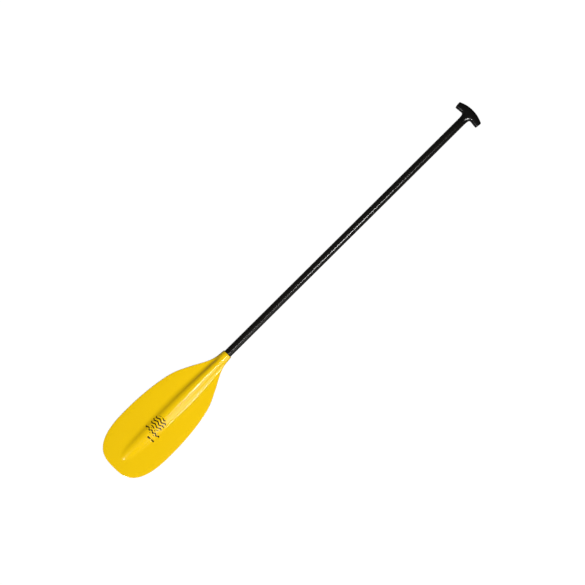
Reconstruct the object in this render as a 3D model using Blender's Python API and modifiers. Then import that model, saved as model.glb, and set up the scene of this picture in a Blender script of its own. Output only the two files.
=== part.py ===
"""Single-bladed canoe paddle: a laminated blade with a spine, a wound tube shaft and a moulded T-grip.

The paddle lies along X, blade towards -X and grip towards +X, with the blade's plane level.
Lengths named "from_tip" are measured along the paddle from the blade's tip.
"""

import math

import bmesh
import bpy
from mathutils import Vector

# Driving dimensions, in metres.
LENGTH = 1.676
AXIS_HEIGHT = 0.017
GAP = 0.0003
TURN_STEPS = 48

# Shaft.
SHAFT_RADIUS = 0.01395
SHAFT_WALL = 0.002
SHAFT_START = 0.350
BOND_THICKNESS = 0.0004
PLUG_LENGTH = 0.040

# Blade outline and thickness.
BLADE_LENGTH = 0.533
BLADE_HALF_WIDTH = 0.106
WIDEST_FROM_TIP = 0.164
TIP_POWER_ALONG = 2.6
TIP_POWER_ACROSS = 3.0
FLAT_HALF_THICKNESS = 0.0022
PARTING_HALF_GAP = GAP / 2
# The shoulder from the widest place to the socket's rim: (from_tip, half width).
SHOULDER = (
    (0.164, 0.1060),
    (0.230, 0.1040),
    (0.300, 0.0965),
    (0.363, 0.0826),
    (0.415, 0.0590),
    (0.466, 0.0320),
    (0.495, 0.0213),
    (0.533, 0.0168),
)

# The spine from its nose near the tip to the socket's rim:
# (from_tip, crest height over the middle plane, half width with its fillets).
SPINE = (
    (0.036, FLAT_HALF_THICKNESS, 0.0060),
    (0.048, 0.0040, 0.0175),
    (0.080, 0.0078, 0.0265),
    (0.125, 0.0108, 0.0310),
    (0.200, 0.0135, 0.0340),
    (0.300, 0.0155, 0.0350),
    (0.370, 0.0168, 0.0330),
    (0.430, 0.0170, 0.0290),
    (0.480, 0.0170, 0.0250),
    (0.533, 0.0170, 0.0220),
)
CROWN_SHARE = 0.52
SOCKET_START = 0.470
SOCKET_OVAL_FROM = 0.520
LIP_RADIUS = 0.0015
SKIN_OVER_CORE = 0.002
CORE_END = 0.060

# How finely the skins are drawn.
TIP_STATIONS = 17
SHOULDER_STATIONS = 17
SOCKET_STATIONS = 7
LIP_STATIONS = 3
CROWN_STEPS = 6
FILLET_STEPS = 4
EDGE_STEPS = 3
FIRST_TIP_ANGLE = math.radians(3.0)
EDGE_RADIUS = 0.0018

# T-grip. Depths run down from the crown, along the shaft.
GRIP_HALF_WIDTH = 0.0511
CROWN_RISE = 0.00095
BAR_THICKNESS = 0.0310
BAR_ARCH = 4.9
BAR_TAPER = 2.6
BAR_END_THINNING = 0.23
BAR_HALF_DEPTH = 0.01755
BAR_END_HALF_DEPTH = 0.0150
BAR_CORNER_PULL = 0.92
BAR_BAYS = (0.50, 0.76, 0.93)
NECK_HALF_SPAN = 0.0180
NECK_TOP = 0.0435
SEAM_DEPTH = 0.055
TENON_LENGTH = 0.060
# A ring of eight cage points at radius 1 smooths to a circle of this radius.
RING_LIMIT = (4.0 + 2.0 * math.cos(math.radians(45.0))) / 6.0

YELLOW = (0.86, 0.56, 0.004)
BLACK = (0.012, 0.011, 0.010)
GRIP_BLACK = (0.014, 0.014, 0.014)
FOAM = (0.82, 0.76, 0.62)
RESIN = (0.55, 0.43, 0.22)


def clear_scene():
    """Remove every object that the file opens with."""
    for thing in list(bpy.data.objects):
        bpy.data.objects.remove(thing, do_unlink=True)


def make_collection(name):
    group = bpy.data.collections.new(name)
    bpy.context.scene.collection.children.link(group)
    return group


def make_material(name, color, roughness):
    material = bpy.data.materials.new(name)
    material.use_nodes = True
    shader = material.node_tree.nodes["Principled BSDF"]
    shader.inputs["Base Color"].default_value = (*color, 1.0)
    shader.inputs["Roughness"].default_value = roughness
    shader.inputs["Metallic"].default_value = 0.0
    return material


def place(name, mesh, group, axis, material=None):
    """Put a mesh in the scene as an object that hangs on the paddle's axis."""
    thing = bpy.data.objects.new(name, mesh)
    group.objects.link(thing)
    thing.parent = axis
    if material:
        mesh.materials.append(material)
    return thing


def along(from_tip):
    """The X of a place given by its distance from the tip."""
    return from_tip - LENGTH / 2


def blend(value, start, end):
    """0 below start, 1 above end, and a smooth step between them."""
    t = min(max((value - start) / (end - start), 0.0), 1.0)
    return t * t * (3.0 - 2.0 * t)


# ---------------------------------------------------------------- blade outline


def tip_point(angle):
    """(from_tip, half width) on the rounded tip half, a superellipse."""
    along_share = math.cos(angle) ** (2.0 / TIP_POWER_ALONG)
    across_share = math.sin(angle) ** (2.0 / TIP_POWER_ACROSS)
    return WIDEST_FROM_TIP * (1.0 - along_share), BLADE_HALF_WIDTH * across_share


def smooth_through(points, column, at):
    """The value of one column at a place, on a smooth curve through the points, level before the first."""
    if at <= points[0][0]:
        return points[0][column]
    i = 0
    while i < len(points) - 2 and at > points[i + 1][0]:
        i += 1
    near, far = points[i], points[i + 1]
    run = far[0] - near[0]
    t = (at - near[0]) / run
    near_slope = slope_at(points, column, i) * run
    far_slope = slope_at(points, column, i + 1) * run
    return (
        near[column] * (1 + 2 * t) * (1 - t) ** 2
        + near_slope * t * (1 - t) ** 2
        + far[column] * t * t * (3 - 2 * t)
        + far_slope * t * t * (t - 1)
    )


def slope_at(points, column, i):
    """Slope of the curve at point i, level at the first point."""
    if i == 0:
        return 0.0
    before = points[i - 1]
    after = points[min(i + 1, len(points) - 1)]
    return (after[column] - before[column]) / (after[0] - before[0])


def shoulder_width(from_tip):
    """Half width of the blade past its widest place."""
    return smooth_through(SHOULDER, 1, from_tip)


def lip_drop(from_tip):
    """How far the socket's rounded lip has fallen towards the shaft."""
    over = max(0.0, from_tip - (BLADE_LENGTH - LIP_RADIUS)) / LIP_RADIUS
    return LIP_RADIUS * (1.0 - math.sqrt(max(0.0, 1.0 - min(over, 1.0) ** 2)))


def outline():
    """Outline points from the tip's middle to the rim, each with its outward normal."""
    points = []
    for i in range(TIP_STATIONS):
        angle = FIRST_TIP_ANGLE + (math.pi / 2 - FIRST_TIP_ANGLE) * i / TIP_STATIONS
        points.append(tip_point(angle))
    for i in range(SHOULDER_STATIONS):
        reach = WIDEST_FROM_TIP + (SOCKET_START - WIDEST_FROM_TIP) * i / SHOULDER_STATIONS
        points.append((reach, shoulder_width(reach)))
    lip_start = BLADE_LENGTH - LIP_RADIUS
    for i in range(SOCKET_STATIONS):
        reach = SOCKET_START + (lip_start - SOCKET_START) * i / SOCKET_STATIONS
        points.append((reach, shoulder_width(reach)))
    for i in range(LIP_STATIONS + 1):
        reach = lip_start + LIP_RADIUS * math.sin(math.pi / 2 * i / LIP_STATIONS)
        points.append((reach, shoulder_width(reach) - lip_drop(reach)))
    points[0] = (0.0, points[0][1])
    return [(*points[i], normal_at(points, i)) for i in range(len(points))]


def normal_at(points, i):
    """Outward normal of the outline, straight ahead at the tip and straight across on the lip."""
    if i == 0:
        return Vector((-1.0, 0.0))
    if points[i][0] > BLADE_LENGTH - 2 * LIP_RADIUS:
        return Vector((0.0, 1.0))
    run = Vector(points[i + 1]) - Vector(points[i - 1])
    return Vector((-run.y, run.x)).normalized()


# ---------------------------------------------------------------- blade section


def crest_height(from_tip):
    """Height of the spine's crest over the blade's middle plane."""
    return smooth_through(SPINE, 1, from_tip) - lip_drop(from_tip)


def spine_reach(from_tip, room):
    """Half width of the spine with its fillets, never past the room that the outline leaves."""
    return min(smooth_through(SPINE, 2, from_tip), room)


def half_section(from_tip, room):
    """(y, z) from the crest down the crown and up the hollow fillet to the flat."""
    level = FLAT_HALF_THICKNESS
    rise = max(crest_height(from_tip) - level, 1e-5)
    reach = spine_reach(from_tip, room)
    both = (reach**2 + rise**2) / (2 * rise)
    crown = both * CROWN_SHARE
    fillet = both - crown
    turn = math.atan2(reach, both - rise)
    points = []
    for i in range(CROWN_STEPS):
        a = turn * i / CROWN_STEPS
        points.append((crown * math.sin(a), level + rise - crown * (1 - math.cos(a))))
    for i in range(FILLET_STEPS + 1):
        a = turn * (1 - i / FILLET_STEPS)
        points.append((reach - fillet * math.sin(a), level + fillet * (1 - math.cos(a))))
    return points


def rounded_edge(from_tip, half_width, normal):
    """(x, y, z) up the blade's rounded edge, from the parting plane to the flat."""
    points = []
    for i in range(EDGE_STEPS + 1):
        a = math.pi / 2 * i / EDGE_STEPS
        inset = EDGE_RADIUS * (1 - math.cos(a))
        z = PARTING_HALF_GAP + (FLAT_HALF_THICKNESS - PARTING_HALF_GAP) * math.sin(a)
        points.append(Vector((from_tip - inset * normal.x, half_width - inset * normal.y, z)))
    return points


def oval_point(from_tip, half_width, share):
    """A point of the socket's oval section, share 0 at the crest and 1 at the parting plane."""
    a = math.pi / 2 * share
    height = crest_height(from_tip) - PARTING_HALF_GAP
    return Vector((from_tip, half_width * math.sin(a), PARTING_HALF_GAP + height * math.cos(a)))


def skin_row(from_tip, half_width, normal):
    """One row of a skin, from its right edge over the crest to its left edge."""
    edge = rounded_edge(from_tip, half_width, normal)
    inner = edge[-1]
    section = half_section(inner.x, inner.y - EDGE_RADIUS / 4)
    left = [Vector((inner.x, y, z)) for y, z in section] + edge[::-1]
    rounding = blend(from_tip, SOCKET_START, SOCKET_OVAL_FROM)
    last = len(left) - 1
    left = [p.lerp(oval_point(from_tip, half_width, i / last), rounding) for i, p in enumerate(left)]
    right = [Vector((x, -y, z)) for x, y, z in left[:0:-1]]
    return right + left


def build_skin_mesh():
    """Half a blade above the parting plane, solid until the spine is hollowed."""
    shape = bmesh.new()
    rows = []
    for from_tip, half_width, normal in outline():
        row = skin_row(from_tip, half_width, normal)
        rows.append([shape.verts.new((along(x), y, z)) for x, y, z in row])
    for near, far in zip(rows, rows[1:]):
        for i in range(len(near) - 1):
            shape.faces.new((near[i], near[i + 1], far[i + 1], far[i]))
    # The blunt middle of the tip: strips across its rounded edge, the last one meeting the first row.
    first = rows[0]
    for i in range(EDGE_STEPS - 1):
        shape.faces.new((first[i], first[i + 1], first[-2 - i], first[-1 - i]))
    shape.faces.new(first[EDGE_STEPS - 1 : len(first) - EDGE_STEPS + 1])
    # The rim's flat end and the parting face.
    shape.faces.new(rows[-1])
    shape.faces.new([row[0] for row in rows] + [row[-1] for row in reversed(rows)])
    bmesh.ops.recalc_face_normals(shape, faces=shape.faces)
    mesh = bpy.data.meshes.new("blade_skin")
    shape.to_mesh(mesh)
    shape.free()
    mesh.shade_smooth()
    mesh.set_sharp_from_angle(angle=math.radians(40))
    return mesh


# ---------------------------------------------------------------- turned pieces


def turned(name, profile, group, axis, material=None):
    """Turn a closed profile of (from_tip, radius) about the paddle's axis with a Screw modifier."""
    shape = bmesh.new()
    corners = [shape.verts.new((radius, 0.0, along(reach))) for reach, radius in profile]
    pairs = zip(corners, corners[1:])
    if profile[0][1] > 0.0:
        pairs = zip(corners, corners[1:] + corners[:1])
    for a, b in pairs:
        shape.edges.new((a, b))
    mesh = bpy.data.meshes.new(name)
    shape.to_mesh(mesh)
    shape.free()
    thing = place(name, mesh, group, axis, material)
    thing.rotation_euler = (0.0, math.radians(90), 0.0)
    screw = thing.modifiers.new("turn", "SCREW")
    screw.axis = "Z"
    screw.steps = TURN_STEPS
    screw.render_steps = TURN_STEPS
    screw.use_merge_vertices = True
    screw.merge_threshold = 0.00001
    screw.use_smooth_shade = False
    return thing


def tube_profile(start, end, inner, outer):
    """A tube's closed profile, down its outer side from the grip end."""
    return [(end, outer), (start, outer), (start, inner), (end, inner)]


def rod_profile(start, end, radius):
    """A solid rod's open profile, which starts and ends on the axis."""
    return [(end, 0.0), (end, radius), (start, radius), (start, 0.0)]


def core_radius(from_tip):
    """Radius of the spine's foam core, which leaves a skin of even thickness over it."""
    return crest_height(from_tip) - SKIN_OVER_CORE - GAP


def core_profile(grow):
    """The core's open profile, from its blunt end at the shaft down to its thin end."""
    start = SHAFT_START - GAP
    steps = 10
    bodies = [start + (CORE_END - start) * i / steps for i in range(steps + 1)]
    side = [(reach, core_radius(reach) + grow) for reach in bodies]
    return [(start, 0.0)] + side[:-1] + [(CORE_END - grow, side[-1][1]), (CORE_END - grow, 0.0)]


def spine_cutter_profile(bore):
    """The hollow inside the spine: the shaft's bore, then the core's pocket."""
    pocket = core_profile(GAP)[1:]
    mouth = BLADE_LENGTH + 10 * GAP
    return [(mouth, 0.0), (mouth, bore), (SHAFT_START - GAP, bore)] + pocket[1:]


# ---------------------------------------------------------------- T-grip


def bar_point(across, depth, out):
    """A cage point of the crossbar: arched, fanned in towards its underside, slimmer at its ends."""
    share = abs(across) / GRIP_HALF_WIDTH
    depth *= 1.0 - BAR_END_THINNING * share**3
    y = across * (1.0 - BAR_TAPER * depth)
    half_depth = BAR_HALF_DEPTH + (BAR_END_HALF_DEPTH - BAR_HALF_DEPTH) * share**2
    return Vector((LENGTH / 2 + CROWN_RISE - depth - BAR_ARCH * y * y, y, out * half_depth))


def cut_cage(shape, co, no):
    everything = shape.verts[:] + shape.edges[:] + shape.faces[:]
    bmesh.ops.bisect_plane(shape, geom=everything, plane_co=co, plane_no=no)


def build_grip_cage():
    """A coarse cage: a crossbar cut into bays, its neck and its tenon pulled out of the middle bays."""
    shape = bmesh.new()
    bmesh.ops.create_cube(shape, size=2.0)
    bays = (NECK_HALF_SPAN / GRIP_HALF_WIDTH, *BAR_BAYS)
    cut_cage(shape, (0, 0, 0), (1, 0, 0))
    cut_cage(shape, (0, 0, 0), (0, 1, 0))
    cut_cage(shape, (0, 0, 0), (0, 0, 1))
    for bay in bays:
        cut_cage(shape, (0, bay, 0), (0, 1, 0))
        cut_cage(shape, (0, -bay, 0), (0, 1, 0))
    for vert in shape.verts:
        x, y, z = vert.co
        pull = BAR_CORNER_PULL if abs(x) > 0.5 and abs(z) > 0.5 else 1.0
        depth = BAR_THICKNESS * (1.0 - x * pull) / 2
        vert.co = bar_point(y * GRIP_HALF_WIDTH, depth, z * pull)
    pull_neck(shape)
    bmesh.ops.recalc_face_normals(shape, faces=shape.faces)
    return shape


def pull_neck(shape):
    """Pull the four faces under the middle of the bar down into the neck and the tenon."""
    shape.faces.ensure_lookup_table()
    under = []
    for face in shape.faces:
        middle = face.calc_center_median()
        if face.normal.x < -0.7 and abs(middle.y) < NECK_HALF_SPAN:
            under.append(face)
    tenon_radius = SHAFT_RADIUS - SHAFT_WALL - 2 * GAP - BOND_THICKNESS
    rings = (
        (NECK_TOP, SHAFT_RADIUS, False),
        (SEAM_DEPTH, SHAFT_RADIUS, True),
        (SEAM_DEPTH, tenon_radius, True),
        (SEAM_DEPTH + TENON_LENGTH, tenon_radius, True),
    )
    crease = shape.edges.layers.float.new("crease_edge")
    for depth, radius, sharp in rings:
        under = extrude_ring(shape, under, depth, radius)
        if sharp:
            for edge in border(under):
                edge[crease] = 1.0


def border(faces):
    """The edges that only one of these faces has."""
    inside = set(faces)
    return [e for f in faces for e in f.edges if len([g for g in e.link_faces if g in inside]) == 1]


def extrude_ring(shape, faces, depth, radius):
    """Extrude a patch of four faces and set its border on a circle round the paddle's axis."""
    moved = bmesh.ops.extrude_face_region(shape, geom=faces)["geom"]
    bmesh.ops.delete(shape, geom=faces, context="FACES")
    verts = [v for v in moved if isinstance(v, bmesh.types.BMVert)]
    patch = [f for f in moved if isinstance(f, bmesh.types.BMFace)]
    for vert in verts:
        flat = Vector((0.0, vert.co.y, vert.co.z))
        if flat.length > 0.1 * radius:
            turn = round(math.atan2(flat.z, flat.y) / math.radians(45)) * math.radians(45)
            flat = Vector((0.0, math.cos(turn), math.sin(turn))) * (radius / RING_LIMIT)
        vert.co = Vector((LENGTH / 2 - depth, flat.y, flat.z))
    return patch


def build_grip(group, axis, material):
    shape = build_grip_cage()
    mesh = bpy.data.meshes.new("t_grip")
    shape.to_mesh(mesh)
    shape.free()
    mesh.shade_smooth()
    grip = place("t_grip", mesh, group, axis, material)
    smooth = grip.modifiers.new("smooth", "SUBSURF")
    smooth.levels = 2
    smooth.render_levels = 2
    return grip


# ---------------------------------------------------------------- assembly


def build_skins(parts, cutters, axis):
    """The front and back skins: one mesh, hollowed by one cutter, the back one turned over."""
    yellow = make_material("yellow_laminate", YELLOW, 0.25)
    mesh = build_skin_mesh()
    bore = SHAFT_RADIUS + 2 * GAP + BOND_THICKNESS
    cutter = turned("spine_cutter", spine_cutter_profile(bore), cutters, axis)
    cutter.hide_render = True
    cutter.display_type = "WIRE"
    front = place("blade_front_skin", mesh, parts, axis, yellow)
    back = place("blade_back_skin", mesh, parts, axis)
    back.rotation_euler = (math.pi, 0.0, 0.0)
    for skin in (front, back):
        hollow = skin.modifiers.new("hollow", "BOOLEAN")
        hollow.operation = "DIFFERENCE"
        hollow.solver = "EXACT"
        hollow.object = cutter


def build_shaft(parts, axis):
    """The tube, its two plugs and the two bonds that hold it."""
    black = make_material("black_wound_tube", BLACK, 0.3)
    foam = make_material("closed_cell_foam", FOAM, 0.9)
    resin = make_material("cured_resin", RESIN, 0.4)
    inner = SHAFT_RADIUS - SHAFT_WALL
    top = LENGTH - SEAM_DEPTH - GAP
    turned("shaft_tube", tube_profile(SHAFT_START, top, inner, SHAFT_RADIUS), parts, axis, black)
    plug_end = SHAFT_START + PLUG_LENGTH
    turned("lower_plug", rod_profile(SHAFT_START + GAP, plug_end, inner - GAP), parts, axis, foam)
    tenon_end = LENGTH - SEAM_DEPTH - TENON_LENGTH
    plug_top = tenon_end - GAP
    turned("upper_plug", rod_profile(plug_top - PLUG_LENGTH, plug_top, inner - GAP), parts, axis, foam)
    sleeve = SHAFT_RADIUS + GAP
    blade_bond = tube_profile(SHAFT_START + GAP, BLADE_LENGTH - GAP, sleeve, sleeve + BOND_THICKNESS)
    turned("blade_bond", blade_bond, parts, axis, resin)
    lining = inner - GAP
    grip_bond = tube_profile(tenon_end + GAP, top - GAP, lining - BOND_THICKNESS, lining)
    turned("grip_bond", grip_bond, parts, axis, resin)
    turned("spine_core", core_profile(0.0), parts, axis, foam)


def main():
    clear_scene()
    parts = make_collection("canoe_paddle")
    cutters = make_collection("cutters")
    axis = bpy.data.objects.new("paddle_axis", None)
    axis.location = (0.0, 0.0, AXIS_HEIGHT)
    parts.objects.link(axis)
    build_skins(parts, cutters, axis)
    build_shaft(parts, axis)
    build_grip(parts, axis, make_material("grip_black", GRIP_BLACK, 0.2))


main()
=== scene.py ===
"""Looks of a single-bladed canoe paddle with a laminated blade, a wound tube shaft and a moulded T-grip.

The paddle lies along X, blade towards -X and grip towards +X, on a pale floor.
Lengths named from_tip are measured along the paddle from the blade's tip, in metres.
"""

import logging
import math
from dataclasses import dataclass, replace
from enum import Enum
from typing import Callable, Iterable, Sequence

import bmesh
import bpy
from mathutils import Matrix, Vector


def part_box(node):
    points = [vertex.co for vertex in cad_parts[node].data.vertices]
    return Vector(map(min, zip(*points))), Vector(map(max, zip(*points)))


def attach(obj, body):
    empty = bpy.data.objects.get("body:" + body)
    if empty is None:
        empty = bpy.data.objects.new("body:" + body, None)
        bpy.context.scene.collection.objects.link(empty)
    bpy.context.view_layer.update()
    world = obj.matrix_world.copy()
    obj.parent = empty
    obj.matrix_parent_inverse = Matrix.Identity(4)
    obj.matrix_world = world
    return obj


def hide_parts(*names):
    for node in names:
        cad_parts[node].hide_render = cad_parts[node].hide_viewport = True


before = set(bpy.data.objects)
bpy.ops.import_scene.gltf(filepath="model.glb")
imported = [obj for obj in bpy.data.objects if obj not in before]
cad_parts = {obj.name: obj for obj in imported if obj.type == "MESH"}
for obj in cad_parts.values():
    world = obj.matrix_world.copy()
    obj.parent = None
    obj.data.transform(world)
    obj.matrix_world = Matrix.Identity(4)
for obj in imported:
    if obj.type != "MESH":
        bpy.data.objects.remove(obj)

LOG = logging.getLogger("paddle")
BODY = "root"
GAP = 0.0003
MARK_ROUNDNESS = 2.5

Curve = Sequence[tuple[float, float, float]]


# ------------------------------------------------------------------ modelling by hand


class PartOf(Enum):
    """What a selection in edit mode is made of."""

    VERT = "VERT"
    EDGE = "EDGE"
    FACE = "FACE"


def deselect_everything() -> None:
    """Leave edit mode and deselect every object."""
    if bpy.context.mode != "OBJECT":
        bpy.ops.object.mode_set(mode="OBJECT")
    bpy.ops.object.select_all(action="DESELECT")


def take(piece: bpy.types.Object) -> bpy.types.Object:
    """Make a piece the only selected and active one.

    Args:
        piece: the object to work on.

    Returns:
        The same object.
    """
    deselect_everything()
    piece.select_set(True)
    bpy.context.view_layer.objects.active = piece
    return piece


def new_piece(name: str) -> bpy.types.Object:
    """Name the primitive that was just added, and apply its place, turn and size to its mesh.

    Args:
        name: the piece's name.

    Returns:
        The primitive's object, at the origin, unturned and unscaled.
    """
    piece = bpy.context.view_layer.objects.active
    piece.name = name
    piece.data.name = name
    take(piece)
    bpy.ops.object.transform_apply(location=True, rotation=True, scale=True)
    return piece


def pick(piece: bpy.types.Object, part: PartOf, wanted: Callable[[object], bool]) -> int:
    """Select the verts, edges or faces of a piece in edit mode that a test wants.

    Args:
        piece: the piece, in edit mode.
        part: what the test looks at.
        wanted: the test, given a BMVert, BMEdge or BMFace.

    Returns:
        How many were selected.
    """
    bpy.ops.mesh.select_mode(type=part.value)
    bpy.ops.mesh.select_all(action="DESELECT")
    shape = bmesh.from_edit_mesh(piece.data)
    members = {PartOf.VERT: shape.verts, PartOf.EDGE: shape.edges, PartOf.FACE: shape.faces}[part]
    found = [member for member in members if wanted(member)]
    for member in found:
        member.select_set(True)
    shape.select_flush_mode()
    bmesh.update_edit_mesh(piece.data)
    return len(found)


def apply_modifier(piece: bpy.types.Object, modifier: bpy.types.Modifier) -> None:
    """Apply a modifier to its piece's mesh."""
    take(piece)
    bpy.ops.object.modifier_apply(modifier=modifier.name)


def carve(piece: bpy.types.Object, cutter: bpy.types.Object) -> None:
    """Cut one solid out of a piece, and remove the cutter.

    Args:
        piece: the piece that loses material.
        cutter: a closed solid.
    """
    hollow = piece.modifiers.new("hollow", "BOOLEAN")
    hollow.operation = "DIFFERENCE"
    hollow.solver = "EXACT"
    hollow.object = cutter
    apply_modifier(piece, hollow)
    bpy.data.objects.remove(cutter, do_unlink=True)


def shade(piece: bpy.types.Object, degrees: float) -> None:
    """Shade a piece smooth, with edges sharper than the angle kept crisp."""
    take(piece)
    bpy.ops.object.shade_smooth_by_angle(angle=math.radians(degrees))


def hang(piece: bpy.types.Object, slot: str, material: bpy.types.Material, *nodes: str) -> None:
    """Dress a finished piece, ride it on the paddle's body, and let it stand for CAD nodes.

    Args:
        piece: the finished piece.
        slot: not used.
        material: the material it wears.
        nodes: the CAD nodes it stands for.
    """
    piece.data.materials.clear()
    piece.data.materials.append(material)
    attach(piece, BODY)
    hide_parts(*nodes)


# ------------------------------------------------------------------ node sketches


class Sketch:
    """A node tree that nodes are added to and joined in."""

    def __init__(self, tree: bpy.types.NodeTree) -> None:
        """Keep the tree to draw in."""
        self.tree = tree

    def node(self, kind: str, inputs: dict | None = None, **settings: object) -> bpy.types.Node:
        """Add one node.

        Args:
            kind: the node's bl_idname without its "ShaderNode" start.
            inputs: socket name or number to a value, or to another node's output socket.
            settings: the node's own properties.

        Returns:
            The new node.
        """
        made = self.tree.nodes.new("ShaderNode" + kind)
        for name, value in settings.items():
            setattr(made, name, value)
        for key, value in (inputs or {}).items():
            if isinstance(value, bpy.types.NodeSocket):
                self.tree.links.new(value, made.inputs[key])
            else:
                made.inputs[key].default_value = value
        return made

    def math(self, operation: str, *values: object) -> bpy.types.NodeSocket:
        """Add a Math node.

        Args:
            operation: the node's operation.
            values: numbers or sockets, in the order of the node's inputs.

        Returns:
            The node's output socket.
        """
        return self.node("Math", dict(enumerate(values)), operation=operation).outputs[0]

    def span(
        self, value: bpy.types.NodeSocket, start: float, end: float, low: float, high: float
    ) -> bpy.types.NodeSocket:
        """Add a smooth Map Range node from start..end to low..high, and return its output socket."""
        inputs = {"Value": value, "From Min": start, "From Max": end, "To Min": low, "To Max": high}
        return self.node("MapRange", inputs, interpolation_type="SMOOTHSTEP").outputs["Result"]

    def mix(self, share: object, first: object, second: object) -> bpy.types.NodeSocket:
        """Add a colour Mix node.

        Args:
            share: how much of the second colour, a number or socket.
            first: the first colour, a value or socket.
            second: the second colour, a value or socket.

        Returns:
            The mixed colour's socket.
        """
        made = self.tree.nodes.new("ShaderNodeMix")
        made.data_type = "RGBA"
        for socket, value in ((made.inputs[0], share), (made.inputs[6], first), (made.inputs[7], second)):
            if isinstance(value, bpy.types.NodeSocket):
                self.tree.links.new(value, socket)
            else:
                socket.default_value = value
        return made.outputs[2]

    def group(self, tree: bpy.types.NodeTree, inputs: dict) -> bpy.types.Node:
        """Place a node group with its own values, and return its node."""
        made = self.tree.nodes.new("ShaderNodeGroup")
        made.node_tree = tree
        for key, value in inputs.items():
            if isinstance(value, bpy.types.NodeSocket):
                self.tree.links.new(value, made.inputs[key])
            else:
                made.inputs[key].default_value = value
        return made


def new_group(
    name: str, inputs: dict[str, str], outputs: Iterable[str]
) -> tuple[Sketch, bpy.types.Node, bpy.types.Node]:
    """Start a shader node group.

    Args:
        name: the group's name.
        inputs: socket name to "Float" or "Vector".
        outputs: names of its float outputs.

    Returns:
        A sketch of its tree, its input node and its output node.
    """
    tree = bpy.data.node_groups.new(name, "ShaderNodeTree")
    for socket, kind in inputs.items():
        tree.interface.new_socket(socket, in_out="INPUT", socket_type="NodeSocket" + kind)
    for socket in outputs:
        tree.interface.new_socket(socket, in_out="OUTPUT", socket_type="NodeSocketFloat")
    return Sketch(tree), tree.nodes.new("NodeGroupInput"), tree.nodes.new("NodeGroupOutput")


@dataclass(frozen=True)
class Effects:
    """The node groups that the materials share."""

    mottle: bpy.types.NodeTree
    scuffs: bpy.types.NodeTree
    winding: bpy.types.NodeTree
    waves: bpy.types.NodeTree


def mottle_group() -> bpy.types.NodeTree:
    """Cloudy patches and fine grain.

    Returns:
        A group that gives Cloud and Grain, each 0 to 1.
    """
    inputs = {"Place": "Vector", "Cloud Scale": "Float", "Grain Scale": "Float"}
    sketch, given, result = new_group("mottle", inputs, ("Cloud", "Grain"))
    place = given.outputs["Place"]
    cloud = sketch.node("TexNoise", {"Vector": place, "Scale": given.outputs["Cloud Scale"], "Detail": 3.0})
    grain = sketch.node("TexNoise", {"Vector": place, "Scale": given.outputs["Grain Scale"], "Detail": 2.0})
    sketch.tree.links.new(sketch.span(cloud.outputs[0], 0.3, 0.7, 0.0, 1.0), result.inputs["Cloud"])
    sketch.tree.links.new(sketch.span(grain.outputs[0], 0.3, 0.7, 0.0, 1.0), result.inputs["Grain"])
    return sketch.tree


def scuffs_group() -> bpy.types.NodeTree:
    """Rubbed marks that gather where Nearness is high, and thin scratches along the paddle.

    Returns:
        A group that gives Rub and Scratch, each 0 to 1.
    """
    inputs = {"Place": "Vector", "Nearness": "Float", "Reach": "Float"}
    sketch, given, result = new_group("scuffs", inputs, ("Rub", "Scratch"))
    place = given.outputs["Place"]
    patches = sketch.node("TexNoise", {"Vector": place, "Scale": 90.0, "Detail": 4.0, "Roughness": 0.65})
    near = sketch.math("MULTIPLY", given.outputs["Nearness"], given.outputs["Reach"])
    rub = sketch.span(sketch.math("ADD", near, patches.outputs[0]), 1.05, 1.3, 0.0, 1.0)
    drawing = {"Vector": place, "Rotation": (0.0, 0.0, 0.3), "Scale": (12.0, 340.0, 90.0)}
    drawn = sketch.node("Mapping", drawing)
    lines = sketch.node("TexNoise", {"Vector": drawn.outputs[0], "Scale": 1.0, "Detail": 1.0})
    sketch.tree.links.new(rub, result.inputs["Rub"])
    sketch.tree.links.new(sketch.span(lines.outputs[0], 0.62, 0.72, 0.0, 1.0), result.inputs["Scratch"])
    return sketch.tree


def winding_group() -> bpy.types.NodeTree:
    """Bands of fibre wound both ways round a tube on the paddle's axis.

    Returns:
        A group that gives Crossing, 0 to 1, from the bands' own coordinates.
    """
    inputs = {"Place": "Vector", "Height": "Float", "Pitch": "Float", "Bands": "Float"}
    sketch, given, result = new_group("winding", inputs, ("Crossing",))
    place = sketch.node("SeparateXYZ", {0: given.outputs["Place"]})
    up = sketch.math("SUBTRACT", place.outputs["Z"], given.outputs["Height"])
    turn = sketch.math("MULTIPLY", sketch.math("ARCTAN2", place.outputs["Y"], up), given.outputs["Bands"])
    run = sketch.math("MULTIPLY", place.outputs["X"], given.outputs["Pitch"])
    right = sketch.math("SINE", sketch.math("ADD", turn, run))
    left = sketch.math("SINE", sketch.math("SUBTRACT", turn, run))
    crossing = sketch.span(sketch.math("MULTIPLY", right, left), -0.6, 0.6, 0.0, 1.0)
    sketch.tree.links.new(crossing, result.inputs["Crossing"])
    return sketch.tree


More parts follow.
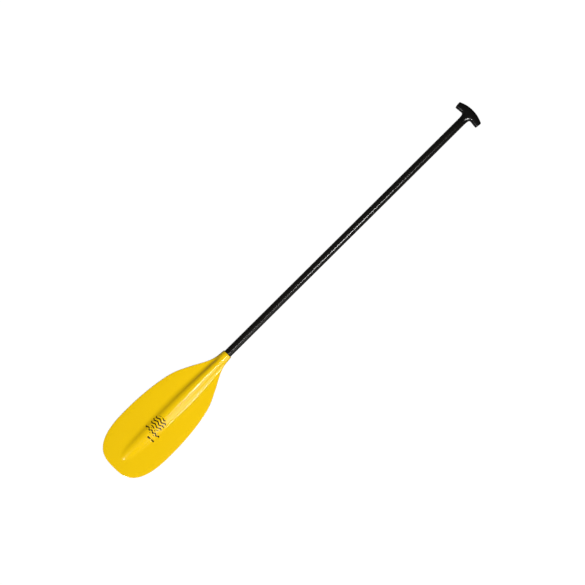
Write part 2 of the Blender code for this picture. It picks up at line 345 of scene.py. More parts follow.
def waves_group() -> bpy.types.NodeTree:
    """A block of printed wave strokes that run across the blade.

    Returns:
        A group that gives Ink, 0 to 1, inside an ellipse round a point on the blade.
    """
    names = ("Along", "Across", "Pitch", "Swing", "Length", "Stroke", "Half Height", "Half Width")
    inputs = {"Place": "Vector"} | {name: "Float" for name in names}
    sketch, given, result = new_group("waves", inputs, ("Ink",))
    value = given.outputs
    place = sketch.node("SeparateXYZ", {0: value["Place"]})
    along = sketch.math("SUBTRACT", place.outputs["X"], value["Along"])
    across = sketch.math("SUBTRACT", place.outputs["Y"], value["Across"])
    turn = sketch.math("DIVIDE", sketch.math("MULTIPLY", across, math.tau), value["Length"])
    swing = sketch.math("MULTIPLY", sketch.math("SINE", turn), value["Swing"])
    rows = sketch.math("SUBTRACT", along, swing)
    off = sketch.math("PINGPONG", rows, sketch.math("MULTIPLY", value["Pitch"], 0.5))
    stroke = sketch.math("SUBTRACT", 1.0, sketch.math("DIVIDE", off, value["Stroke"]))
    inked = sketch.span(stroke, 0.4, 0.6, 0.0, 1.0)
    sides = []
    for reach, half in ((along, value["Half Height"]), (across, value["Half Width"])):
        share = sketch.math("ABSOLUTE", sketch.math("DIVIDE", reach, half))
        sides.append(sketch.math("POWER", share, MARK_ROUNDNESS))
    inside = sketch.span(sketch.math("ADD", *sides), 0.97, 1.03, 1.0, 0.0)
    sketch.tree.links.new(sketch.math("MULTIPLY", inked, inside), result.inputs["Ink"])
    return sketch.tree


# ------------------------------------------------------------------ finishes


def start_material(name: str) -> tuple[Sketch, bpy.types.Material, bpy.types.Node, bpy.types.NodeSocket]:
    """Start a material.

    Args:
        name: the material's name.

    Returns:
        Its sketch, itself, its Principled shader and its Object coordinate socket.
    """
    material = bpy.data.materials.new(name)
    material.use_nodes = True
    sketch = Sketch(material.node_tree)
    shader = material.node_tree.nodes["Principled BSDF"]
    return sketch, material, shader, sketch.node("TexCoord").outputs["Object"]


def lift(
    sketch: Sketch, shader: bpy.types.Node, height: bpy.types.NodeSocket, distance: float, strength: float
) -> None:
    """Feed a height through a Bump node to the shader's normal."""
    bump = sketch.node("Bump", {"Height": height, "Distance": distance, "Strength": strength})
    sketch.tree.links.new(bump.outputs[0], shader.inputs["Normal"])


@dataclass(frozen=True)
class WaveBlock:
    """One block of the printed mark, in metres from the paddle's middle and axis."""

    along: float
    across: float
    pitch: float
    swing: float
    length: float
    stroke: float
    half_height: float
    half_width: float

    def inputs(self) -> dict[str, float]:
        """The block's values under the names of the waves group's sockets."""
        return {
            "Along": self.along,
            "Across": self.across,
            "Pitch": self.pitch,
            "Swing": self.swing,
            "Length": self.length,
            "Stroke": self.stroke,
            "Half Height": self.half_height,
            "Half Width": self.half_width,
        }


@dataclass(frozen=True)
class YellowLaminate:
    """Glossy yellow laminate with a printed mark on the front and rubbed edges."""

    color: tuple[float, float, float, float] = (0.90, 0.575, 0.0010, 1.0)
    deep: tuple[float, float, float, float] = (0.88, 0.550, 0.0008, 1.0)
    rubbed: tuple[float, float, float, float] = (0.86, 0.58, 0.035, 1.0)
    ink: tuple[float, float, float, float] = (0.012, 0.007, 0.002, 1.0)

    def make(self, effects: Effects, printed: bool) -> bpy.types.Material:
        """Build the material.

        Args:
            effects: the shared node groups.
            printed: whether it carries the wave mark.

        Returns:
            The material.
        """
        name = "yellow_laminate_printed" if printed else "yellow_laminate"
        sketch, material, shader, place = start_material(name)
        mottle = sketch.group(effects.mottle, {"Place": place, "Cloud Scale": 7.0, "Grain Scale": 420.0})
        near = sketch.node("Attribute", attribute_name="edge_nearness", attribute_type="GEOMETRY")
        wear = {"Place": place, "Nearness": near.outputs["Fac"], "Reach": 0.62}
        scuffs = sketch.group(effects.scuffs, wear)
        body = sketch.mix(sketch.math("MULTIPLY", mottle.outputs["Cloud"], 0.5), self.color, self.deep)
        color = sketch.mix(sketch.math("MULTIPLY", scuffs.outputs["Rub"], 0.55), body, self.rubbed)
        if printed:
            color = sketch.mix(self.mark(sketch, effects, place), color, self.ink)
        sketch.tree.links.new(color, shader.inputs["Base Color"])
        dull = sketch.math("MULTIPLY_ADD", scuffs.outputs["Rub"], 0.22, 0.17)
        dull = sketch.math("MULTIPLY_ADD", scuffs.outputs["Scratch"], 0.05, dull)
        dull = sketch.math("MULTIPLY_ADD", mottle.outputs["Cloud"], 0.03, dull)
        sketch.tree.links.new(dull, shader.inputs["Roughness"])
        shader.inputs["IOR"].default_value = 1.46
        shader.inputs["Coat Weight"].default_value = 1.0
        shader.inputs["Coat Roughness"].default_value = 0.09
        lift(sketch, shader, mottle.outputs["Grain"], 0.00001, 0.10)
        return material

    def mark(self, sketch: Sketch, effects: Effects, place: bpy.types.NodeSocket) -> bpy.types.NodeSocket:
        """Draw the printed mark: a round block of waves, a low wide one, and two short bars.

        Args:
            sketch: the material's sketch.
            effects: the shared node groups.
            place: the Object coordinates.

        Returns:
            How much ink there is, 0 to 1.
        """
        bar = WaveBlock(-0.6840, -0.0130, 0.0200, 0.0000, 0.0130, 0.0050, 0.0030, 0.0065)
        blocks = (
            WaveBlock(-0.6280, -0.0020, 0.0112, 0.0024, 0.0230, 0.0046, 0.0235, 0.0235),
            WaveBlock(-0.6620, -0.0070, 0.0110, 0.0024, 0.0150, 0.0050, 0.0085, 0.0300),
            bar,
            replace(bar, across=-0.0290),
        )
        total: object = 0.0
        for block in blocks:
            waves = sketch.group(effects.waves, {"Place": place} | block.inputs())
            total = sketch.math("MAXIMUM", total, waves.outputs["Ink"])
        worn = sketch.group(effects.mottle, {"Place": place, "Cloud Scale": 160.0, "Grain Scale": 900.0})
        return sketch.math("MULTIPLY", total, sketch.math("MULTIPLY_ADD", worn.outputs["Cloud"], 0.04, 0.95))


@dataclass(frozen=True)
class WoundTube:
    """Semi-gloss black tube with fibre bands that cross under the resin."""

    color: tuple[float, float, float, float] = (0.0060, 0.0052, 0.0042, 1.0)
    fibre: tuple[float, float, float, float] = (0.0105, 0.0095, 0.0078, 1.0)
    height: float = 0.017

    def make(self, effects: Effects) -> bpy.types.Material:
        """Build the material from the shared node groups, and return it."""
        sketch, material, shader, place = start_material("black_wound_tube")
        bands = {"Place": place, "Height": self.height, "Pitch": 230.0, "Bands": 6.0}
        winding = sketch.group(effects.winding, bands).outputs["Crossing"]
        mottle = sketch.group(effects.mottle, {"Place": place, "Cloud Scale": 14.0, "Grain Scale": 1400.0})
        color = sketch.mix(sketch.math("MULTIPLY", winding, 0.7), self.color, self.fibre)
        sketch.tree.links.new(color, shader.inputs["Base Color"])
        rough = sketch.math("MULTIPLY_ADD", winding, 0.01, 0.21)
        rough = sketch.math("MULTIPLY_ADD", mottle.outputs["Cloud"], 0.02, rough)
        sketch.tree.links.new(rough, shader.inputs["Roughness"])
        shader.inputs["IOR"].default_value = 1.45
        height = sketch.math("MULTIPLY_ADD", mottle.outputs["Grain"], 0.25, winding)
        lift(sketch, shader, height, 0.00001, 0.15)
        return material


@dataclass(frozen=True)
class MouldedGrip:
    """Smooth black moulded plastic, a little rubbed where the palm sits."""

    color: tuple[float, float, float, float] = (0.0045, 0.0042, 0.0038, 1.0)
    rubbed: tuple[float, float, float, float] = (0.0085, 0.0080, 0.0074, 1.0)

    def make(self, effects: Effects) -> bpy.types.Material:
        """Build the material from the shared node groups, and return it."""
        sketch, material, shader, place = start_material("black_moulded_grip")
        mottle = sketch.group(effects.mottle, {"Place": place, "Cloud Scale": 45.0, "Grain Scale": 1700.0})
        near = sketch.node("Attribute", attribute_name="palm_nearness", attribute_type="GEOMETRY")
        wear = {"Place": place, "Nearness": near.outputs["Fac"], "Reach": 0.60}
        scuffs = sketch.group(effects.scuffs, wear)
        color = sketch.mix(sketch.math("MULTIPLY", scuffs.outputs["Rub"], 0.6), self.color, self.rubbed)
        sketch.tree.links.new(color, shader.inputs["Base Color"])
        rough = sketch.math("MULTIPLY_ADD", mottle.outputs["Cloud"], 0.05, 0.17)
        rough = sketch.math("MULTIPLY_ADD", scuffs.outputs["Rub"], 0.10, rough)
        sketch.tree.links.new(rough, shader.inputs["Roughness"])
        shader.inputs["IOR"].default_value = 1.45
        lift(sketch, shader, mottle.outputs["Grain"], 0.00002, 0.2)
        return material


@dataclass(frozen=True)
class Foam:
    """Closed-cell foam with small open pores on its cut faces."""

    color: tuple[float, float, float, float] = (0.82, 0.76, 0.62, 1.0)
    pore: tuple[float, float, float, float] = (0.60, 0.53, 0.40, 1.0)

    def make(self, effects: Effects) -> bpy.types.Material:
        """Build the material from the shared node groups, and return it."""
        sketch, material, shader, place = start_material("closed_cell_foam")
        cells = sketch.node("TexVoronoi", {"Vector": place, "Scale": 900.0})
        pores = sketch.span(cells.outputs["Distance"], 0.15, 0.55, 1.0, 0.0)
        mottle = sketch.group(effects.mottle, {"Place": place, "Cloud Scale": 30.0, "Grain Scale": 600.0})
        share = sketch.math("MULTIPLY", pores, sketch.math("MULTIPLY_ADD", mottle.outputs["Cloud"], 0.4, 0.4))
        sketch.tree.links.new(sketch.mix(share, self.color, self.pore), shader.inputs["Base Color"])
        rough = sketch.math("MULTIPLY_ADD", mottle.outputs["Grain"], 0.08, 0.85)
        sketch.tree.links.new(rough, shader.inputs["Roughness"])
        lift(sketch, shader, pores, -0.0004, 0.5)
        return material


@dataclass(frozen=True)
class CuredResin:
    """Amber thickened resin with small bubbles."""

    color: tuple[float, float, float, float] = (0.55, 0.43, 0.22, 1.0)
    deep: tuple[float, float, float, float] = (0.40, 0.28, 0.11, 1.0)

    def make(self, effects: Effects) -> bpy.types.Material:
        """Build the material from the shared node groups, and return it."""
        sketch, material, shader, place = start_material("cured_resin")
        mottle = sketch.group(effects.mottle, {"Place": place, "Cloud Scale": 60.0, "Grain Scale": 1500.0})
        color = sketch.mix(mottle.outputs["Cloud"], self.color, self.deep)
        sketch.tree.links.new(color, shader.inputs["Base Color"])
        rough = sketch.math("MULTIPLY_ADD", mottle.outputs["Grain"], 0.15, 0.30)
        sketch.tree.links.new(rough, shader.inputs["Roughness"])
        lift(sketch, shader, mottle.outputs["Grain"], 0.00008, 0.3)
        return material


# ------------------------------------------------------------------ smooth curves


def slope_at(points: Curve, column: int, i: int) -> float:
    """Slope of one column of a curve at point i, level at the first point."""
    if i == 0:
        return 0.0
    before = points[i - 1]
    after = points[min(i + 1, len(points) - 1)]
    return (after[column] - before[column]) / (after[0] - before[0])


def smooth_through(points: Curve, column: int, at: float) -> float:
    """Read one column of a curve.

    Args:
        points: rows whose first number is the place along the paddle.
        column: which number of a row to read.
        at: the place to read it at.

    Returns:
        The value on a smooth curve through the points, level before the first.
    """
    if at <= points[0][0]:
        return points[0][column]
    i = 0
    while i < len(points) - 2 and at > points[i + 1][0]:
        i += 1
    near, far = points[i], points[i + 1]
    run = far[0] - near[0]
    t = (at - near[0]) / run
    return (
        near[column] * (1 + 2 * t) * (1 - t) ** 2
        + slope_at(points, column, i) * run * t * (1 - t) ** 2
        + far[column] * t * t * (3 - 2 * t)
        + slope_at(points, column, i + 1) * run * t * t * (t - 1)
    )


def eased(value: float, start: float, end: float) -> float:
    """0 below start, 1 above end, and a smooth step between them."""
    t = min(max((value - start) / (end - start), 0.0), 1.0)
    return t * t * (3.0 - 2.0 * t)


# ------------------------------------------------------------------ blade


@dataclass
class Blade:
    """The two bonded skins of the blade, with its spine and socket."""

    tip_x: float
    axis_height: float
    length: float = 0.533
    half_width: float = 0.106
    widest: float = 0.164
    tip_power_along: float = 2.6
    tip_power_across: float = 3.0
    level: float = 0.0022
    parting: float = GAP / 2
    edge_radius: float = 0.0018
    lip_radius: float = 0.0015
    crown_share: float = 0.52
    socket_start: float = 0.470
    socket_oval_from: float = 0.520
    tip_rows: int = 48
    shoulder_rows: int = 60
    socket_rows: int = 16
    lip_rows: int = 5
    crown_steps: int = 14
    fillet_steps: int = 12
    flat_steps: int = 5
    edge_steps: int = 5
    shoulder: Curve = (
        (0.164, 0.1060),
        (0.230, 0.1040),
        (0.300, 0.0965),
        (0.363, 0.0826),
        (0.415, 0.0590),
        (0.466, 0.0320),
        (0.495, 0.0213),
        (0.533, 0.0168),
    )
    spine: Curve = (
        (0.036, 0.0022, 0.0060),
        (0.048, 0.0040, 0.0175),
        (0.080, 0.0078, 0.0265),
        (0.125, 0.0108, 0.0310),
        (0.200, 0.0135, 0.0340),
        (0.300, 0.0155, 0.0350),
        (0.370, 0.0168, 0.0330),
        (0.430, 0.0170, 0.0290),
        (0.480, 0.0170, 0.0250),
        (0.533, 0.0170, 0.0220),
    )

    def lip_drop(self, from_tip: float) -> float:
        """How far the socket's rounded lip has fallen towards the shaft."""
        over = min(max(0.0, from_tip - (self.length - self.lip_radius)) / self.lip_radius, 1.0)
        return self.lip_radius * (1.0 - math.sqrt(1.0 - over**2))

    def tip_point(self, angle: float) -> tuple[float, float]:
        """(from_tip, half width) on the rounded tip half, a superellipse."""
        along = math.cos(angle) ** (2.0 / self.tip_power_along)
        across = math.sin(angle) ** (2.0 / self.tip_power_across)
        return self.widest * (1.0 - along), self.half_width * across

    def outline(self) -> list[tuple[float, float, Vector]]:
        """Outline points from the tip's middle to the rim, each with its outward normal."""
        points = []
        first = math.radians(1.5)
        for i in range(self.tip_rows):
            angle = first + (math.pi / 2 - first) * i / self.tip_rows
            points.append(self.tip_point(angle))
        points[0] = (0.0, points[0][1])
        for i in range(self.shoulder_rows):
            reach = self.widest + (self.socket_start - self.widest) * i / self.shoulder_rows
            points.append((reach, smooth_through(self.shoulder, 1, reach)))
        lip = self.length - self.lip_radius
        for i in range(self.socket_rows):
            reach = self.socket_start + (lip - self.socket_start) * i / self.socket_rows
            points.append((reach, smooth_through(self.shoulder, 1, reach)))
        for i in range(self.lip_rows + 1):
            reach = lip + self.lip_radius * math.sin(math.pi / 2 * i / self.lip_rows)
            points.append((reach, smooth_through(self.shoulder, 1, reach) - self.lip_drop(reach)))
        return [(*point, self.normal_at(points, i)) for i, point in enumerate(points)]

    def normal_at(self, points: list[tuple[float, float]], i: int) -> Vector:
        """Outward normal of the outline, straight ahead at the tip and straight across on the lip."""
        if i == 0:
            return Vector((-1.0, 0.0))
        if points[i][0] > self.length - 2 * self.lip_radius:
            return Vector((0.0, 1.0))
        run = Vector(points[i + 1]) - Vector(points[i - 1])
        return Vector((-run.y, run.x)).normalized()

    def half_section(self, from_tip: float, room: float) -> list[tuple[float, float]]:
        """The spine's section on one side.

        Args:
            from_tip: the place along the paddle.
            room: the widest half width that the outline leaves.

        Returns:
            (y, z) from the crest down the crown and up the hollow fillet to the flat.
        """
        crest = smooth_through(self.spine, 1, from_tip) - self.lip_drop(from_tip)
        rise = max(crest - self.level, 1e-5)
        reach = min(smooth_through(self.spine, 2, from_tip), room)
        both = (reach**2 + rise**2) / (2 * rise)
        crown = both * self.crown_share
        fillet = both - crown
        turn = math.atan2(reach, both - rise)
        points = []
        for i in range(self.crown_steps):
            a = turn * i / self.crown_steps
            points.append((crown * math.sin(a), self.level + rise - crown * (1 - math.cos(a))))
        for i in range(self.fillet_steps + 1):
            a = turn * (1 - i / self.fillet_steps)
            points.append((reach - fillet * math.sin(a), self.level + fillet * (1 - math.cos(a))))
        return points

    def half_row(self, from_tip: float, half_width: float, normal: Vector) -> list[Vector]:
        """One row of a skin from its crest to its left edge.

        Args:
            from_tip: the outline's place along the paddle.
            half_width: the outline's half width there.
            normal: the outline's outward normal there.

        Returns:
            (from_tip, y, z) points over the spine, the flat and the rounded edge.
        """
        edge = []
        for i in range(self.edge_steps + 1):
            a = math.pi / 2 * i / self.edge_steps
            inset = self.edge_radius * (1 - math.cos(a))
            z = self.parting + (self.level - self.parting) * math.sin(a)
            edge.append(Vector((from_tip - inset * normal.x, half_width - inset * normal.y, z)))
        inner = edge[-1]
        room = inner.y - self.edge_radius / 4
        over = [Vector((inner.x, y, z)) for y, z in self.half_section(inner.x, room)]
        foot = over[-1]
        flat = [foot.lerp(inner, i / self.flat_steps) for i in range(1, self.flat_steps)]
        row = over + flat + edge[::-1]
        rounding = eased(from_tip, self.socket_start, self.socket_oval_from)
        crest = smooth_through(self.spine, 1, from_tip) - self.lip_drop(from_tip) - self.parting
        for i, point in enumerate(row):
            a = math.pi / 2 * i / (len(row) - 1)
            oval = Vector((from_tip, half_width * math.sin(a), self.parting + crest * math.cos(a)))
            row[i] = point.lerp(oval, rounding)
        return row

    def model_sheet(self) -> bpy.types.Object:
        """Lay a grid over the outline and raise it to the blade's front.

        Returns:
            An open sheet whose sides come down to the parting plane.
        """
        rows = []
        for from_tip, half_width, normal in self.outline():
            left = self.half_row(from_tip, half_width, normal)
            rows.append([Vector((p.x, -p.y, p.z)) for p in left[:0:-1]] + left)
        across = len(rows[0])
        deselect_everything()
        bpy.ops.mesh.primitive_grid_add(x_subdivisions=across - 1, y_subdivisions=len(rows) - 1, size=0.2)
        sheet = new_piece("blade_front")
        offset = Vector((self.tip_x, 0.0, self.axis_height))
        for i, vert in enumerate(sheet.data.vertices):
            vert.co = rows[i // across][i % across] + offset
        return sheet

    def close(self, sheet: bpy.types.Object) -> None:
        """Close the sheet at the blunt tip, the socket's rim and the parting plane.

        Args:
            sheet: the open sheet, which becomes a solid.
        """
        start = [vert.co.copy() for vert in sheet.data.vertices]
        across = len(self.half_row(0.2, 0.1, Vector((0.0, 1.0)))) * 2 - 1
        total = len(start)
        take(sheet)
        bpy.ops.object.mode_set(mode="EDIT")
        for i in range(self.edge_steps - 1):
            wanted = {i, i + 1, across - 2 - i, across - 1 - i}
            pick(sheet, PartOf.VERT, lambda vert: vert.index in wanted)
            bpy.ops.mesh.edge_face_add()
        middle = range(self.edge_steps - 1, across - self.edge_steps + 1)
        pick(sheet, PartOf.VERT, lambda vert: vert.index in middle)
        bpy.ops.mesh.edge_face_add()
        pick(sheet, PartOf.VERT, lambda vert: vert.index >= total - across)
        bpy.ops.mesh.edge_face_add()
        pick(sheet, PartOf.EDGE, lambda edge: edge.is_boundary)
        bpy.ops.mesh.edge_face_add()
        bpy.ops.mesh.select_all(action="SELECT")
        bpy.ops.mesh.normals_make_consistent(inside=False)
        bpy.ops.object.mode_set(mode="OBJECT")

    def hollow(self, skin: bpy.types.Object) -> None:
        """Cut the shaft's bore and the foam core's pocket out of a skin.

        Args:
            skin: the solid skin.
        """
        low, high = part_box("blade_bond")
        radius = (high.y - low.y) / 2 + GAP
        start, end = low.x - 2 * GAP, high.x + 0.01
        deselect_everything()
        bpy.ops.mesh.primitive_cylinder_add(
            vertices=96,
            radius=radius,
            depth=end - start,
            location=((start + end) / 2, 0.0, self.axis_height),
            rotation=(0.0, math.pi / 2, 0.0),
        )
        carve(skin, new_piece("bore"))
        deselect_everything()
        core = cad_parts["spine_core"]
        pocket = bpy.data.objects.new("pocket", core.data.copy())
        bpy.context.scene.collection.objects.link(pocket)
        take(pocket)
        bpy.ops.object.mode_set(mode="EDIT")
        bpy.ops.mesh.select_all(action="SELECT")
        bpy.ops.mesh.remove_doubles(threshold=0.00001)
        bpy.ops.transform.shrink_fatten(value=GAP, use_even_offset=True)
        bpy.ops.object.mode_set(mode="OBJECT")
        carve(skin, pocket)

    def note_edges(self, skin: bpy.types.Object) -> None:
        """Store how near each point is to the blade's edge, most at the tip, as edge_nearness."""
        notes = skin.data.attributes.new("edge_nearness", "FLOAT", "POINT")
        outline = self.outline()
        for i, vert in enumerate(skin.data.vertices):
            from_tip = vert.co.x - self.tip_x
            across = abs(vert.co.y)
            off = min(math.hypot(from_tip - x, across - y) for x, y, _ in outline)
            if from_tip < 0.012 and across < outline[0][1]:
                off = from_tip
            wear = 1.0 - 0.6 * eased(from_tip, 0.05, 0.40)
            notes.data[i].value = wear * (1.0 - eased(off, 0.0005, 0.007))

    def build(self, effects: Effects, finish: YellowLaminate) -> list[bpy.types.Object]:
        """Model and dress both skins.

        Args:
            effects: the shared node groups.
            finish: the laminate's look.

        Returns:
            The front and the back skin.
        """
        front = self.model_sheet()
        self.close(front)
        self.hollow(front)
        self.note_edges(front)
        take(front)
        bpy.ops.object.duplicate()
        back = bpy.context.view_layer.objects.active
        back.name = "blade_back"
        back.data.name = "blade_back"
        bpy.ops.object.mode_set(mode="EDIT")
        bpy.ops.mesh.select_all(action="SELECT")
        bpy.ops.transform.rotate(value=math.pi, orient_axis="X", center_override=(0.0, 0.0, self.axis_height))
        bpy.ops.object.mode_set(mode="OBJECT")
        for skin in (front, back):
            shade(skin, 38.0)
        hang(front, "blade_laminate", finish.make(effects, printed=True), "blade_front_skin")
        hang(back, "blade_laminate", finish.make(effects, printed=False), "blade_back_skin")
        return [front, back]


# ------------------------------------------------------------------ shaft


@dataclass
class Shaft:
    """The wound tube between the blade's socket and the T-grip's shoulder."""

    axis_height: float
    sides: int = 96
    wall: float = 0.002
    end_chamfer: float = 0.0003
    rings: int = 36

    def build(self, effects: Effects, finish: WoundTube) -> bpy.types.Object:
        """Model the tube from a cylinder: ends inset and bridged through, rims bevelled.

        Args:
            effects: the shared node groups.
            finish: the tube's look.

        Returns:
            The tube.
        """
        low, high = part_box("shaft_tube")
        deselect_everything()
        bpy.ops.mesh.primitive_cylinder_add(
            vertices=self.sides,
            radius=(high.y - low.y) / 2,
            depth=high.x - low.x,
            location=((low.x + high.x) / 2, 0.0, self.axis_height),
            rotation=(0.0, math.pi / 2, 0.0),
        )
        tube = new_piece("shaft")
        bpy.ops.object.mode_set(mode="EDIT")
        pick(tube, PartOf.FACE, lambda face: len(face.verts) > 4)
        bpy.ops.mesh.inset(thickness=self.wall)
        bpy.ops.mesh.delete(type="FACE")
        pick(tube, PartOf.EDGE, lambda edge: edge.is_boundary)
        bpy.ops.mesh.bridge_edge_loops()
        for i in range(1, self.rings):
            bpy.ops.mesh.select_all(action="SELECT")
            x = low.x + (high.x - low.x) * i / self.rings
            bpy.ops.mesh.bisect(plane_co=(x, 0.0, 0.0), plane_no=(1.0, 0.0, 0.0))
        pick(tube, PartOf.EDGE, lambda edge: self.on_rim(edge, (low.x, high.x), high.y - 0.0005))
        bpy.ops.mesh.bevel(offset=self.end_chamfer, segments=2)
        bpy.ops.mesh.select_all(action="SELECT")
        bpy.ops.mesh.normals_make_consistent(inside=False)
        bpy.ops.object.mode_set(mode="OBJECT")
        shade(tube, 40.0)
        hang(tube, "wound_tube", finish.make(effects), "shaft_tube")
        return tube

    def on_rim(self, edge: object, ends: tuple[float, float], outer: float) -> bool:
        """Whether an edge runs round the outside of one of the tube's ends.

        Args:
            edge: a BMEdge.
            ends: X of the tube's two ends.
            outer: the least distance from the axis that counts as outside.

        Returns:
            True on the two outer rims.
        """
        a, b = (vert.co for vert in edge.verts)
        if not any(abs(a.x - x) < 1e-5 and abs(b.x - x) < 1e-5 for x in ends):
            return False
        return all(math.hypot(co.y, co.z - self.axis_height) > outer for co in (a, b))


# ------------------------------------------------------------------ T-grip


@dataclass
class TeeGrip:
    """The moulded grip: an arched crossbar, its neck and the tenon inside the shaft."""

    top_x: float
    axis_height: float
    shaft_radius: float
    half_width: float = 0.0511
    crown_rise: float = 0.00095
    thickness: float = 0.0310
    arch: float = 4.9
    taper: float = 2.6
    end_thinning: float = 0.23
    half_depth: float = 0.01755
    end_half_depth: float = 0.0150
    corner_pull: float = 0.92
    bays: tuple[float, ...] = (0.50, 0.76, 0.93)
    neck_half_span: float = 0.0180
    neck_top: float = 0.0435
    seam_depth: float = 0.055
    tenon_length: float = 0.060
    tenon_radius: float = 0.01095
    smoothing: int = 4
    parting_groove: float = 0.00012

    def bar_point(self, across: float, depth: float) -> tuple[float, float]:
        """(x, y) of a cage point, given its place across the bar and its depth under the crown."""
        share = abs(across) / self.half_width
        depth *= 1.0 - self.end_thinning * share**3
        y = across * (1.0 - self.taper * depth)
        return self.top_x + self.crown_rise - depth - self.arch * y * y, y

    def model_bar(self) -> bpy.types.Object:
        """Cut a block into bays, then move each line of points to the arched, fanned bar.

        Returns:
            The bar's cage, left in edit mode.
        """
        middle = self.top_x - self.thickness / 2
        deselect_everything()
        bpy.ops.mesh.primitive_cube_add(size=1.0, location=(middle, 0.0, self.axis_height))
        bpy.context.object.scale = (self.thickness, 2 * self.half_width, 2 * self.half_depth)
        bar = new_piece("t_grip_moulded")
        bpy.ops.object.mode_set(mode="EDIT")
        shares = (self.neck_half_span / self.half_width, *self.bays)
        cuts = [(1, middle), (2, self.axis_height), (0, 0.0)]
        cuts += [(0, side * share * self.half_width) for share in shares for side in (-1, 1)]
        for kind, value in cuts:
            co = ((0.0, value, 0.0), (value, 0.0, 0.0), (0.0, 0.0, value))[kind]
            no = ((0.0, 1.0, 0.0), (1.0, 0.0, 0.0), (0.0, 0.0, 1.0))[kind]
            bpy.ops.mesh.select_all(action="SELECT")
            bpy.ops.mesh.bisect(plane_co=co, plane_no=no)
        self.pull_corners(bar, middle)
        self.arch_lines(bar)
        return bar

    def pull_corners(self, bar: bpy.types.Object, middle: float) -> None:
        """Draw the block's four long corners in, so that its section smooths to a fat oval."""
        far = 0.4 * self.thickness
        deep = 0.9 * self.half_depth
        pick(bar, PartOf.VERT, lambda v: abs(v.co.x - middle) > far and abs(v.co.z - self.axis_height) > deep)
        pull = (self.corner_pull, 1.0, self.corner_pull)
        bpy.ops.transform.resize(value=pull, center_override=(middle, 0.0, self.axis_height))

    def arch_lines(self, bar: bpy.types.Object) -> None:
        """Move every line of points that runs through the bar's depth to its place.

        Args:
            bar: the cut block, in edit mode.
        """
        shape = bmesh.from_edit_mesh(bar.data)
        places = {v.index: (round(v.co.x, 6), round(v.co.y, 6)) for v in shape.verts}
        for x, y in sorted(set(places.values())):
            wanted = {index for index, place in places.items() if place == (x, y)}
            goal = self.bar_point(y, self.top_x - x)
            pick(bar, PartOf.VERT, lambda v: v.index in wanted)
            bpy.ops.transform.translate(value=(goal[0] - x, goal[1] - y, 0.0))
            share = abs(y) / self.half_width
            slim = 1.0 + (self.end_half_depth / self.half_depth - 1.0) * share**2
            centre = (goal[0], goal[1], self.axis_height)
            bpy.ops.transform.resize(value=(1.0, 1.0, slim), center_override=centre)

    def pull_neck(self, bar: bpy.types.Object) -> None:
        """Extrude the underside's middle into a round neck, then step it in to the tenon.

        Args:
            bar: the bar's cage, in edit mode.
        """
        cage = self.shaft_radius / ((4.0 + 2.0 * math.cos(math.radians(45.0))) / 6.0)
        span = self.neck_half_span
        pick(bar, PartOf.FACE, lambda f: f.normal.x < -0.7 and abs(f.calc_center_median().y) < span)
        bpy.ops.mesh.extrude_region_move(TRANSFORM_OT_translate={"value": (-0.01, 0.0, 0.0)})
        ring = self.top_x - self.neck_top
        bpy.ops.transform.resize(value=(0.0, 1.0, 1.0), center_override=(ring, 0.0, self.axis_height))
        self.round_ring(bar, ring, cage)
        self.select_patch(bar, ring)
        seam = self.top_x - self.seam_depth
        bpy.ops.mesh.extrude_region_move(TRANSFORM_OT_translate={"value": (seam - ring, 0.0, 0.0)})
        self.crease_ring(bar, seam, 0.5 * cage)
        self.select_patch(bar, seam)
        step = self.tenon_radius / self.shaft_radius
        bpy.ops.mesh.extrude_region_move(TRANSFORM_OT_translate={"value": (-0.001, 0.0, 0.0)})
        bpy.ops.transform.resize(value=(1.0, step, step), center_override=(seam, 0.0, self.axis_height))
        bpy.ops.transform.translate(value=(0.001, 0.0, 0.0))
        self.crease_ring(bar, seam, 0.0)
        self.select_patch(bar, seam, step * cage * 1.05)
        bpy.ops.mesh.extrude_region_move(TRANSFORM_OT_translate={"value": (-self.tenon_length, 0.0, 0.0)})
        self.crease_ring(bar, seam - self.tenon_length, 0.0)

    def round_ring(self, bar: bpy.types.Object, x: float, radius: float) -> None:
        """Set the eight outer points of a patch at x on a circle round the paddle's axis."""
        shape = bmesh.from_edit_mesh(bar.data)
        places = [(v.index, v.co.copy()) for v in shape.verts if abs(v.co.x - x) < 1e-5]
        for index, co in places:
            flat = Vector((co.y, co.z - self.axis_height))
            if flat.length < 0.1 * radius:
                continue
            turn = round(math.atan2(flat.y, flat.x) / math.radians(45)) * math.radians(45)
            goal = Vector((x, radius * math.cos(turn), self.axis_height + radius * math.sin(turn)))
            pick(bar, PartOf.VERT, lambda v: v.index == index)
            bpy.ops.transform.translate(value=goal - co)

    def select_patch(self, bar: bpy.types.Object, x: float, within: float = 1.0) -> None:
        """Select the four faces that close the neck at x, inside a radius."""

        def wanted(face: object) -> bool:
            """Whether every corner of a face is on the plane and inside the radius."""
            return all(abs(v.co.x - x) < 1e-5 and self.off_axis(v.co) < within for v in face.verts)

        pick(bar, PartOf.FACE, wanted)

    def crease_ring(self, bar: bpy.types.Object, x: float, beyond: float) -> None:
        """Crease the round edges at x that lie further out than a radius."""

        def wanted(edge: object) -> bool:
            """Whether an edge runs round the ring, with both ends on it."""
            ends = [self.off_axis(v.co) for v in edge.verts]
            on_plane = all(abs(v.co.x - x) < 1e-5 for v in edge.verts)
            return on_plane and min(ends) > max(beyond, 0.001) and abs(ends[0] - ends[1]) < 1e-4

        pick(bar, PartOf.EDGE, wanted)
        bpy.ops.transform.edge_crease(value=1.0)

    def off_axis(self, co: Vector) -> float:
        """Distance of a point from the paddle's axis."""
        return math.hypot(co.y, co.z - self.axis_height)

